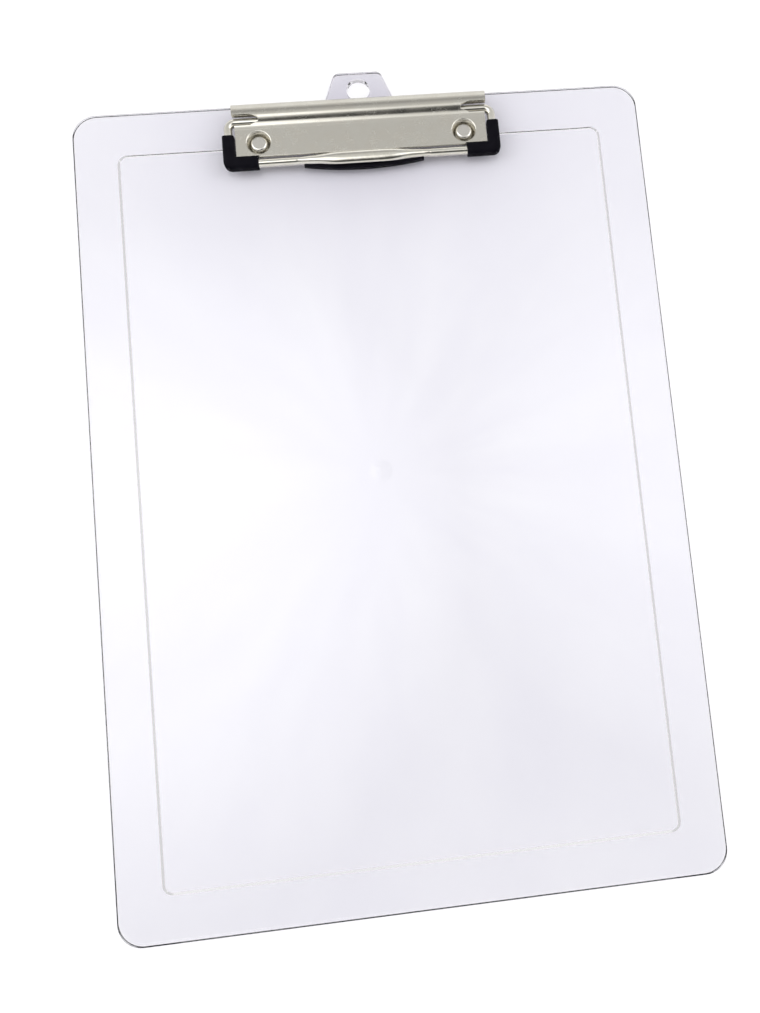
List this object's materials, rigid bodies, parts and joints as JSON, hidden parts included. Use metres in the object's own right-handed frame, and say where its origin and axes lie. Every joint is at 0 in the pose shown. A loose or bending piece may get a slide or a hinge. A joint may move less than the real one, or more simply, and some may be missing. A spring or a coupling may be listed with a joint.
{
  "type": "clipboard",
  "caption": "Clear clipboard with a hanging tab and a low riveted clip whose sprung wire bail has rubber-gripped corners.",
  "frame": {"origin": "middle of the bottom of the overall box, on the plane of the board's back", "axes": "+X across the board, +Y towards the clip and hanging tab, +Z out of the front face"},
  "size_m": [0.2286, 0.3294, 0.0086],
  "materials": {
    "clear_board": "clear, moulded, polished faces",
    "plated_sheet": "nickel plated pressed steel",
    "plated_wire": "nickel plated spring wire",
    "plated_rivet": "nickel plated",
    "black_rubber": "smooth, slightly satin"
  },
  "bodies": {
    "base": {"board": "clear_board", "clip_plate": "plated_sheet", "rivet_left": "plated_rivet", "rivet_right": "plated_rivet", "washer_left": "plated_rivet", "washer_right": "plated_rivet"},
    "bail": {"wire_bail": "plated_wire", "grip_left": "black_rubber", "grip_right": "black_rubber", "thumb_pad": "black_rubber"}
  },
  "joints": [
    {"name": "bail_hinge", "type": "hinge", "parent": "base", "child": "bail", "pos_m": [0, 0.14485, 0.005], "axis": [-1, 0, 0], "range_deg": [0, 110], "stiffness_Nm_per_rad": 0.05, "springref_deg": -120.32}
  ]
}
